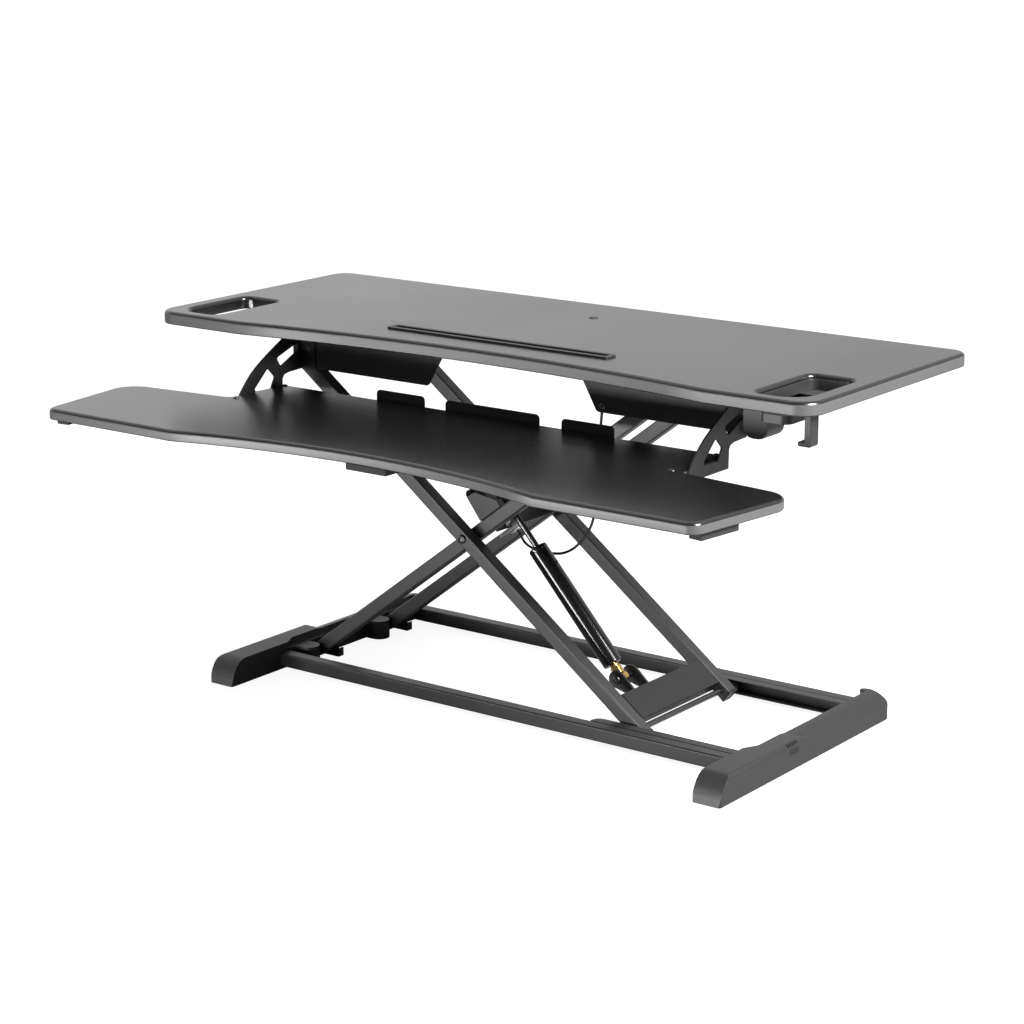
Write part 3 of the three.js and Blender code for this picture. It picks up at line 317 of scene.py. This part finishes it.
def creases(bm):
    return [edge for edge in bm.edges if len(edge.link_faces) == 2 and edge.calc_face_angle(0) > CREASE]


def new_object(name, bm, materials):
    mesh = bpy.data.meshes.new(name)
    bm.to_mesh(mesh)
    bm.free()
    for material in materials:
        mesh.materials.append(material)
    piece = bpy.data.objects.new(name, mesh)
    bpy.context.scene.collection.objects.link(piece)
    return piece


def finish_piece(name, bm, materials, body, replaced=()):
    """The mesh as a piece with smooth faces and sharp creases, riding on a body."""
    for face in bm.faces:
        face.smooth = True
    for edge in bm.edges:
        edge.smooth = len(edge.link_faces) == 2 and edge.calc_face_angle(0) < HARD
    piece = new_object(name, bm, materials)
    modifier = piece.modifiers.new("flat_faces", "WEIGHTED_NORMAL")
    modifier.keep_sharp = True
    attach(piece, body)
    if replaced:
        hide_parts(*replaced)


LIP_LOW = 2
LIP_START = 352
LIP_DROP = 10
LIP_PLAY = 0.2


def deeper_lip(bm):
    """The cross plate's lip, brought down to just above the roller shaft."""
    inward = OUTER.inverted()
    step = OUTER.to_3x3() @ Vector((0, 0, -LIP_DROP * MM))
    for vert in bm.verts:
        local = inward @ vert.co / MM
        if local.x > LIP_START and abs(local.z - LIP_LOW) < LIP_PLAY:
            vert.co += step


def softened(node, width, segments=2):
    """The solid's own shape with its edges rounded."""
    bm = welded(node)
    if node == "outer_cross_plate":
        deeper_lip(bm)
    bevel(bm, creases(bm), width, segments)
    # The arms take the lighter copy of the powder coat, which paints in the light on their front faces.
    finish = ARM_COAT_PAINTED_LIGHT if "_arm_" in node and SLOT[node] == "powder_coated_steel" else FINISH[SLOT[node]]
    finish_piece(node + "_shell", bm, [finish], BODY[node], [node])


SHEET_PIECES = {
    "front_pivot_bracket": 0.5, "rear_pivot_bracket": 0.5,
    "front_base_rail": 0.4, "rear_base_rail": 0.4, "front_roller_track": 0.4, "rear_roller_track": 0.4,
    "inner_arm_front": 0.4, "inner_arm_rear": 0.4, "outer_arm_front": 0.4, "outer_arm_rear": 0.4,
    "inner_cross_bracket": 0.6, "outer_cross_plate": 0.6,
    "valve_lever_bracket": 0.3, "valve_lever": 0.5,
    "tray_stop_plate": 0.4, "left_tray_hanger": 0.5, "right_tray_hanger": 0.5,
    "left_front_desk_rail": 0.5, "left_rear_desk_rail": 0.5,
    "right_front_desk_rail": 0.5, "right_rear_desk_rail": 0.5,
}
MOULDED_PIECES = {
    "left_foot": 1.4, "right_foot": 1.4,
    "front_left_pad": 0.6, "front_right_pad": 0.6, "rear_left_pad": 0.6, "rear_right_pad": 0.6,
    "arm_end_cap_front": 0.8, "arm_end_cap_rear": 0.8, "tablet_slot_trim": 0.5,
    "tray_centre_foot": 2, "left_tray_foot": 2, "right_tray_foot": 2,
    "right_lever_housing": 0.6, "right_release_lever": 1.6, "headset_hook": 1.5,
    "upper_roller_front": 0.8, "upper_roller_rear": 0.8, "lower_roller_front": 0.8, "lower_roller_rear": 0.8,
    "rod_head": 1.2,
}
TURNED_PIECES = {
    "front_pivot_pin": 0.5, "rear_pivot_pin": 0.5, "upper_roller_shaft": 0.4, "lower_roller_shaft": 0.4,
}
for node, width in SHEET_PIECES.items():
    softened(node, width)
for node, width in MOULDED_PIECES.items():
    softened(node, width, segments=3)
for node, width in TURNED_PIECES.items():
    softened(node, width)


# Boards: the dark laminate wraps over the top arris, and a grey band runs round the edge below it.
# The desktop's rebates underneath keep their sharp edges, and the walls of its hand holes stay dark.
ARRIS = 5.5
ARRIS_STEPS = 5
LOWER_ARRIS = 1.5
LOWER_ARRIS_STEPS = 2
UPRIGHT = 0.2
REBATE_HALF = 195
REBATE_FRONT = -175
REBATE_REAR = 110
HOLE_MIDDLE = Vector((472, -152))
HOLE_REACH = Vector((40, 76))


def board(node):
    bm = welded(node)
    low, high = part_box(node)
    bm.normal_update()

    def outside_rebates(edge):
        centre = (edge.verts[0].co + edge.verts[1].co) / 2 / MM
        inside = abs(centre.x) < REBATE_HALF and REBATE_FRONT < centre.y - MID < REBATE_REAR
        return node != "desktop" or not inside

    def rim(height):
        return [edge for edge in creases(bm) if outside_rebates(edge)
                and all(abs(vert.co.z - height) < WELD for vert in edge.verts)]

    bevel(bm, rim(high.z), ARRIS, ARRIS_STEPS, clamp=False)
    bevel(bm, rim(low.z), LOWER_ARRIS, LOWER_ARRIS_STEPS, clamp=False)
    bm.normal_update()
    for face in bm.faces:
        centre = face.calc_center_median() / MM
        in_hand_hole = abs(abs(centre.x) - HOLE_MIDDLE.x) < HOLE_REACH.x and (
            abs(centre.y - MID - HOLE_MIDDLE.y) < HOLE_REACH.y)
        upright = abs(face.normal.z) < UPRIGHT
        face.material_index = 1 if upright and (node != "desktop" or not in_hand_hole) else 0
    finish_piece(node + "_shell", bm, [FINISH[SLOT[node]], EDGE_BAND], BODY[node], [node])


board("desktop")
board("keyboard_tray")


# Round pieces, turned about their own axis. A profile is a list of (radius, height) pairs.
SMALL_ROUND_STEPS = 32
LARGE_ROUND_STEPS = 64
HEXAGON = 6
DOME = [(1, 0.35), (0.93, 0.62), (0.76, 0.86), (0.55, 1)]
BOWL_TAPER = 0.98
BOWL_DIP = 0.2
BOLT_SOCKET_DEPTH = 1.6


def lathe(profile, steps=ROUND_STEPS):
    """A profile from one end to the other, spun about Z."""
    bm = bmesh.new()
    points = [bm.verts.new((radius * MM, 0, height * MM)) for radius, height in profile]
    edges = [bm.edges.new(pair) for pair in zip(points, points[1:])]
    bmesh.ops.spin(bm, geom=points + edges, cent=(0, 0, 0), axis=(0, 0, 1), angle=TURN, steps=steps,
                   use_merge=True)
    bmesh.ops.remove_doubles(bm, verts=bm.verts, dist=WELD)
    bmesh.ops.recalc_face_normals(bm, faces=bm.faces)
    return bm


def across(base, reach, y, rise, flip=False):
    """The place of a piece whose axis lies across the arms. Its height grows towards +Y, or -Y if flipped."""
    turn = Matrix.Rotation(math.radians(90 if flip else -90), 4, "X")
    return base @ Matrix.Translation((reach * MM, y * MM, rise * MM)) @ turn


def prism(sides, radius, bottom, top):
    bm = bmesh.new()
    bmesh.ops.create_cone(bm, cap_ends=True, segments=sides, radius1=radius * MM, radius2=radius * MM,
                          depth=(top - bottom) * MM)
    bmesh.ops.translate(bm, verts=bm.verts, vec=(0, 0, (top + bottom) / 2 * MM))
    return bm


def merged(*parts):
    """Several closed shells in one mesh."""
    whole = parts[0]
    for part in parts[1:]:
        scrap = bpy.data.meshes.new("scrap")
        part.to_mesh(scrap)
        part.free()
        whole.from_mesh(scrap)
        bpy.data.meshes.remove(scrap)
    return whole


def set_down(bm, matrix):
    bmesh.ops.transform(bm, matrix=matrix, verts=bm.verts)
    return bm


def eased(bm, width, segments=2):
    bevel(bm, creases(bm), width, segments)
    return bm


def button_head(radius, height, socket, depth=BOLT_SOCKET_DEPTH):
    """A domed bolt head on z 0 with a round socket."""
    dome = [(radius * out, height * up) for out, up in DOME]
    bowl = [(socket, height), (socket * BOWL_TAPER, height - depth), (0, height - depth - BOWL_DIP)]
    return lathe([(0, 0), (radius, 0), *dome, *bowl], steps=SMALL_ROUND_STEPS)


def rod(radius, start, end, ease=0.4):
    return lathe([(0, start), (radius - ease, start), (radius, start + ease),
                  (radius, end - ease), (radius - ease, end), (0, end)], steps=SMALL_ROUND_STEPS)


def metal_piece(name, bm, node):
    finish_piece(name, bm, [FINISH[SLOT[node]]], BODY[node], [node])


# Bolts across the frames: a head at the outer side, a shank, and a hexagon nut at the inner side
CLEVIS_REACH = (Vector(JOINT["cylinder_swing"]["pos_m"]) / MM - CROSSING).dot(
    Vector((math.cos(TILT), 0, -math.sin(TILT))))
CLEVIS_RISE = -1
HINGE = Vector(JOINT["level"]["pos_m"]) / MM
BOLT_RADIUS = 4
BOLT_SUNK = 0.5
SOCKET_RADIUS = 2.6
CENTRE_SOCKET_RADIUS = 3.5
NUT_RADIUS = 6.3
NUT_HEIGHT = 3.5
NUT_EASE = 0.5
SPACER_RADIUS = 7
SPACER_START = 91.3
SPACER_END = 96.7


def bolt(node, base, reach, rise, face, head, nut, radius, height):
    """head and nut are distances from the mid-plane of the faces that they bear on."""
    central = node.startswith("centre_bolt")
    place = across(base, reach, 0, rise, flip=face < 0)
    shank = rod(BOLT_RADIUS, min(head, nut) - BOLT_SUNK, max(head, nut) + BOLT_SUNK)
    button = button_head(radius, height, CENTRE_SOCKET_RADIUS if central else SOCKET_RADIUS)
    set_down(button, Matrix.Translation((0, 0, head * MM)))
    hexagon = eased(prism(HEXAGON, NUT_RADIUS, 0, NUT_HEIGHT), NUT_EASE)
    set_down(hexagon, Matrix.Translation((0, 0, (nut - NUT_HEIGHT) * MM)))
    parts = [shank, button, hexagon]
    if central:
        parts.append(rod(SPACER_RADIUS, SPACER_START, SPACER_END))
    metal_piece(node + "_turned", set_down(merged(*parts), place), node)


for end, face in (("front", -1), ("rear", 1)):
    bolt("centre_bolt_" + end, OUTER, reach=0, rise=0, face=face,
         head=117.3, nut=70.7, radius=6.3, height=3.2)
    bolt("upper_pivot_bolt_" + end, WORLD, reach=HINGE.x, rise=HINGE.z, face=face,
         head=121.9, nut=96.7, radius=5, height=2.2)
bolt("clevis_pin", OUTER, reach=CLEVIS_REACH, rise=CLEVIS_RISE, face=-1,
     head=68.8, nut=30.7, radius=6.3, height=3.2)


# Gas spring, built along its own axis from the lower pin
EYE_PROFILE = [
    (4.35, -6.6), (4.8, -7), (6.9, -7), (7.5, -6.4), (7.5, 6.4), (6.9, 7), (4.8, 7), (4.35, 6.6),
    (4.35, -6.6),
]
CYLINDER_PROFILE = [
    (0, 22), (11.6, 22), (12.9, 22.5), (13.75, 24.2), (13.75, 208), (13.45, 208.4), (13.45, 209.4),
    (13.75, 209.8), (13.75, 213.4), (13.2, 215), (11.8, 215.9), (10, 216), (5, 216), (5, 28), (0, 28),
]


def end_fitting():
    """A ring eye across the arms, a hexagon shank and a round collar."""
    eye = set_down(lathe(EYE_PROFILE), Matrix.Rotation(math.radians(90), 4, "X"))
    shank = eased(prism(HEXAGON, radius=8, bottom=6.2, top=18.2), width=0.7, segments=3)
    collar = rod(radius=6.2, start=17.5, end=21.7, ease=0.5)
    return merged(eye, shank, collar)


metal_piece("rod_end_fitting_turned", set_down(end_fitting(), SPRING), "rod_end_fitting")
metal_piece("gas_cylinder_turned", set_down(lathe(CYLINDER_PROFILE, steps=LARGE_ROUND_STEPS), SPRING),
            "gas_cylinder")
metal_piece("gas_rod_turned", set_down(rod(radius=4.5, start=126, end=302.5, ease=0.6), SPRING), "gas_rod")

# Blanking plug in the desktop
PLUG = middle("hole_plug")
PLUG_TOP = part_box("hole_plug")[1].z / MM
PLUG_PROFILE = [
    (0, -10), (4.6, -10), (5.2, -9.2), (5.2, -2.2), (6.4, -2.2), (6.5, -2.05), (6.5, -0.75), (6.2, -0.3),
    (5.4, -0.05), (4, 0), (1.4, -0.1), (0, -0.15),
]
PLUG_PLACE = Matrix.Translation((PLUG.x * MM, PLUG.y * MM, PLUG_TOP * MM))
metal_piece("hole_plug_turned", set_down(lathe(PLUG_PROFILE), PLUG_PLACE), "hole_plug")


# Release cable: one smooth sheath in two lengths. It follows the route of the
# solid, but near the top it keeps to one side, clear of the gas spring when the frames are folded.
# Places are counted from the arms' mid-plane in y.
CABLE_ROUTE = [
    (-34.5, -41, 223), (-26, -34, 214.5), (-14, -27, 210), (-0.6, -21.7, 208.7),
    (12.9, -17.5, 210.3), (28.3, -15.5, 218.3), (43.6, -17, 231.9), (58.1, -21.7, 248.3), (70, -27, 268),
    (77, -30, 300), (81, -31, 345), (84.5, -32, 390), (88, -33, 425), (94, -34, 458), (104, -36, 480),
    (122, -50, 493), (150, -69, 499), (190, -80, 500), (260, -86, 500), (320, -88, 500), (366, -91, 499.5),
    (392, -100, 497), (408, -114, 492),
]
CABLE_START_REACH = 34.5
CABLE_START_Y = -43
CABLE_START_RISE = -22.3
CABLE_END_X = 419
CABLE_END_Y = -141.7
CABLE_END_RISE = 27
CABLE_LEAD = 8
CABLE_RADIUS = 1.9
CABLE_SPLIT = 5.5
CABLE_SIDES = 14
CABLE_STEPS = 7


def cable_points():
    """From the valve lever's bracket on the inner frame to the rear face of the right housing."""
    along = Vector((math.cos(TILT), 0, math.sin(TILT)))
    normal = Vector((-math.sin(TILT), 0, math.cos(TILT)))
    bracket = Vector((CROSSING.x, CABLE_START_Y, CROSSING.z))
    start = bracket + along * CABLE_START_REACH + normal * CABLE_START_RISE
    housing_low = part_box("right_lever_housing")[0] / MM
    end = Vector((CABLE_END_X, CABLE_END_Y, housing_low.z + CABLE_END_RISE))
    route = [Vector(point) for point in CABLE_ROUTE]
    points = [start, start - normal * CABLE_LEAD, *route, end + Vector((0, CABLE_LEAD, 0)), end]
    return [point + Vector((0, MID, 0)) for point in points]


def through(points):
    """Points along a centripetal curve through the given ones."""
    ends = [points[0] * 2 - points[1], *points, points[-1] * 2 - points[-2]]
    curve = []
    for before, here, there, after in zip(ends, ends[1:], ends[2:], ends[3:]):
        gaps = [math.sqrt((b - a).length) for a, b in ((before, here), (here, there), (there, after))]
        leave = (here - before) / gaps[0] - (there - before) / (gaps[0] + gaps[1]) + (there - here) / gaps[1]
        arrive = (there - here) / gaps[1] - (after - here) / (gaps[1] + gaps[2]) + (after - there) / gaps[2]
        leave, arrive = leave * gaps[1], arrive * gaps[1]
        for step in range(CABLE_STEPS):
            t = step / CABLE_STEPS
            curve.append(
                here * (2 * t ** 3 - 3 * t ** 2 + 1) + leave * (t ** 3 - 2 * t ** 2 + t)
                + there * (3 * t ** 2 - 2 * t ** 3) + arrive * (t ** 3 - t ** 2))
    return [*curve, points[-1]]


def sheath(points):
    """A closed tube along the points; each ring is turned on from the one before, so it doesn't twist."""
    bm = bmesh.new()
    side = Vector((0, 1, 0))
    rings = []
    for index, point in enumerate(points):
        ahead = points[min(index + 1, len(points) - 1)] - points[max(index - 1, 0)]
        ahead.normalize()
        side = (side - ahead * side.dot(ahead)).normalized()
        up = ahead.cross(side)
        rings.append([bm.verts.new((
            point + (side * math.cos(turn) + up * math.sin(turn)) * CABLE_RADIUS) * MM)
            for turn in (TURN * step / CABLE_SIDES for step in range(CABLE_SIDES))])
    for low, high in zip(rings, rings[1:]):
        for index in range(CABLE_SIDES):
            after = (index + 1) % CABLE_SIDES
            bm.faces.new((low[index], low[after], high[after], high[index]))
    bm.faces.new(reversed(rings[0]))
    bm.faces.new(rings[-1])
    bmesh.ops.recalc_face_normals(bm, faces=bm.faces)
    return bm


def cable_length(name, points, node):
    """A length of cable. It rides on no body of its own."""
    bm = sheath(points)
    for face in bm.faces:
        face.smooth = len(face.verts) == 4
    piece = new_object(name, bm, [FINISH[SLOT[node]]])
    return piece


cable = through(cable_points())
split = next(index for index, point in enumerate(cable) if point.x > CABLE_SPLIT)
lower_cable = cable_length("release_cable_lower", cable[:split + 1], "release_cable")
upper_cable = cable_length("release_cable_upper", cable[split:], "release_cable")
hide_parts("release_cable")
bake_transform(lower_cable)
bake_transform(upper_cable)


# Small screws: each domed head stands on the face it holds
SCREW_RADIUS = 4.2
RAIL_SCREW_RADIUS = 4.6
SCREW_HEIGHT = 1.7
SCREW_SOCKET = 1.9
SCREW_SOCKET_DEPTH = 1.0
TRAY_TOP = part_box("keyboard_tray")[1].z / MM
TRAY_SCREW_X = 357
TRAY_SCREW_Y = {"front": -273, "rear": -172}
RAIL_SCREW = (148.6, -121.6, 454.9)
HANGER_SCREW = (353.8, -123.9, 473.3)


def screw(name, place, radius):
    head = button_head(radius, SCREW_HEIGHT, SCREW_SOCKET, SCREW_SOCKET_DEPTH)
    finish_piece(name, set_down(head, place), [FINISH["dark_steel"]], "platform")


for side, sign in (("left", -1), ("right", 1)):
    for end, y in TRAY_SCREW_Y.items():
        place = WORLD @ Matrix.Translation((sign * TRAY_SCREW_X * MM, y * MM, TRAY_TOP * MM))
        screw(f"{side}_tray_screw_{end}", place, SCREW_RADIUS)
screw("right_rail_screw", across(WORLD, *RAIL_SCREW, flip=True), RAIL_SCREW_RADIUS)
for side, sign in (("left", -1), ("right", 1)):
    x, y, z = HANGER_SCREW
    screw(f"{side}_hanger_screw", across(WORLD, sign * x, y, z, flip=True), RAIL_SCREW_RADIUS)


# Grip ribs, and a near-black block on the outer side of the right foot: painted shade standing in for a
# narrow slot
FOOT_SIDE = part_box("right_foot")[1].x / MM
RIB_ROOT = FOOT_SIDE - 8
RIB_FACE = FOOT_SIDE - 0.2
RIB_STARTS = (-98, -92.8, -87.6, -82.4, -77.2)
RIB_WIDTH = 2.6
RIB_LOW = 32.5
RIB_HIGH = 38.6
RIB_EASE = 0.5
FOOT_SLOT_LOW = (FOOT_SIDE - 3, -96, 22)
FOOT_SLOT_HIGH = (FOOT_SIDE + 0.1, -72, 31)
FOOT_SLOT_EASE = 0.3


def block(low, high, ease):
    bm = bmesh.new()
    bmesh.ops.create_cube(bm, size=1)
    size = (Vector(high) - Vector(low)) * MM
    centre = (Vector(high) + Vector(low)) / 2 * MM + Vector((0, MID, 0)) * MM
    bmesh.ops.scale(bm, verts=bm.verts, vec=size)
    bmesh.ops.translate(bm, verts=bm.verts, vec=centre)
    return eased(bm, ease)


ribs = [block((RIB_ROOT, y, RIB_LOW), (RIB_FACE, y + RIB_WIDTH, RIB_HIGH), RIB_EASE) for y in RIB_STARTS]
finish_piece("right_foot_ribs", merged(*ribs), [FINISH["moulded_plastic"]], "base")
# The slot is not cut: a near-black block, painted as its shade, stands on the foot's side.
finish_piece("right_foot_slot_painted_shade", block(FOOT_SLOT_LOW, FOOT_SLOT_HIGH, FOOT_SLOT_EASE), [SLOT_SHADOW],
             "base")


# Camera at the photograph's place, and the white room around the object
CAMERA_PLACE = (2103.7, -2819.2, 1203.0)
CAMERA_TURN = 36.41
CAMERA_DROP = 14.47
LENS = 94.9
SENSOR = 36
NEAREST = 0.1
FURTHEST = 60

camera_data = bpy.data.cameras.new("view")
camera_data.lens = LENS
camera_data.sensor_width = SENSOR
camera_data.clip_start = NEAREST
camera_data.clip_end = FURTHEST
camera = bpy.data.objects.new("view", camera_data)
bpy.context.scene.collection.objects.link(camera)
camera.location = Vector(CAMERA_PLACE) * MM
camera.rotation_euler = (math.radians(90 - CAMERA_DROP), 0, math.radians(CAMERA_TURN))
bpy.context.scene.camera = camera
bpy.context.scene.view_settings.view_transform = "Standard"

# The room's tone in reflections changes along two directions, towards the backdrop and towards the left
BACKDROP = (-0.594, 0.805, 0)
TOWARDS_LEFT = (-0.805, -0.594, 0)
AMBIENT = 0.26
FRONT_GLOSS = 0.15
LEFT_GLOSS = 1.08
RIGHT_GLOSS = 0.72
FLOOR_GLOW = 0.9
FLOOR_TONE = 0.4
FLOOR_SIZE = 30


def white_room():
    """White where the camera looks, darker in reflections from behind the camera, and soft as a light."""
    world = bpy.data.worlds.new("white_room")
    world.use_nodes = True
    bpy.context.scene.world = world
    tree = world.node_tree
    tree.nodes.clear()
    path = tree.nodes.new("ShaderNodeLightPath")
    place = tree.nodes.new("ShaderNodeTexCoord")
    towards = add(tree, "ShaderNodeVectorMath", {
        0: place.outputs["Generated"], 1: BACKDROP}, operation="DOT_PRODUCT")
    sideways = add(tree, "ShaderNodeVectorMath", {
        0: place.outputs["Generated"], 1: TOWARDS_LEFT}, operation="DOT_PRODUCT")
    backdrop = add(tree, "ShaderNodeMapRange", {
        "Value": sideways.outputs["Value"], "From Min": -0.25, "From Max": 0.2,
        "To Min": RIGHT_GLOSS, "To Max": LEFT_GLOSS})
    gloss = add(tree, "ShaderNodeMapRange", {
        "Value": towards.outputs["Value"], "From Min": -0.3, "From Max": 0.4,
        "To Min": FRONT_GLOSS, "To Max": backdrop.outputs["Result"]})
    reflected = add(tree, "ShaderNodeMix", {
        "Factor": path.outputs["Is Glossy Ray"], "A": AMBIENT, "B": gloss.outputs["Result"]})
    seen = add(tree, "ShaderNodeMix", {
        "Factor": path.outputs["Is Camera Ray"], "A": reflected.outputs["Result"], "B": 1.0})
    light = add(tree, "ShaderNodeBackground", {
        "Color": (1, 1, 1, 1), "Strength": seen.outputs["Result"]})
    output = tree.nodes.new("ShaderNodeOutputWorld")
    tree.links.new(light.outputs["Background"], output.inputs["Surface"])


def floor():
    bm = bmesh.new()
    bmesh.ops.create_grid(bm, x_segments=1, y_segments=1, size=FLOOR_SIZE)
    material, tree, shader = bare_material("white_floor")
    shader.inputs["Base Color"].default_value = grey(FLOOR_TONE)
    shader.inputs["Roughness"].default_value = 0.9
    shader.inputs["Specular IOR Level"].default_value = 0
    shader.inputs["Emission Color"].default_value = (1, 1, 1, 1)
    path = tree.nodes.new("ShaderNodeLightPath")
    glow = add(tree, "ShaderNodeMath", {
        0: path.outputs["Is Camera Ray"], 1: FLOOR_GLOW}, operation="MULTIPLY")
    tree.links.new(glow.outputs["Value"], shader.inputs["Emission Strength"])
    plane = new_object("floor", bm, [material])


def softbox(name, place, aim, size, power):
    lamp = bpy.data.lights.new(name, "AREA")
    lamp.shape = "RECTANGLE"
    lamp.size, lamp.size_y = size
    lamp.energy = power
    holder = bpy.data.objects.new(name, lamp)
    bpy.context.scene.collection.objects.link(holder)
    holder.location = place
    holder.rotation_euler = (Vector(aim) - Vector(place)).to_track_quat("-Z", "Y").to_euler()


white_room()
floor()
softbox("key_light", place=(-0.5, -1.95, 0.12), aim=(0, 0, 0.16), size=(1.6, 0.2), power=36)
softbox("side_light", place=(2.3, -0.2, 2.1), aim=(0.3, 0, 0.25), size=(1.2, 1.0), power=230)
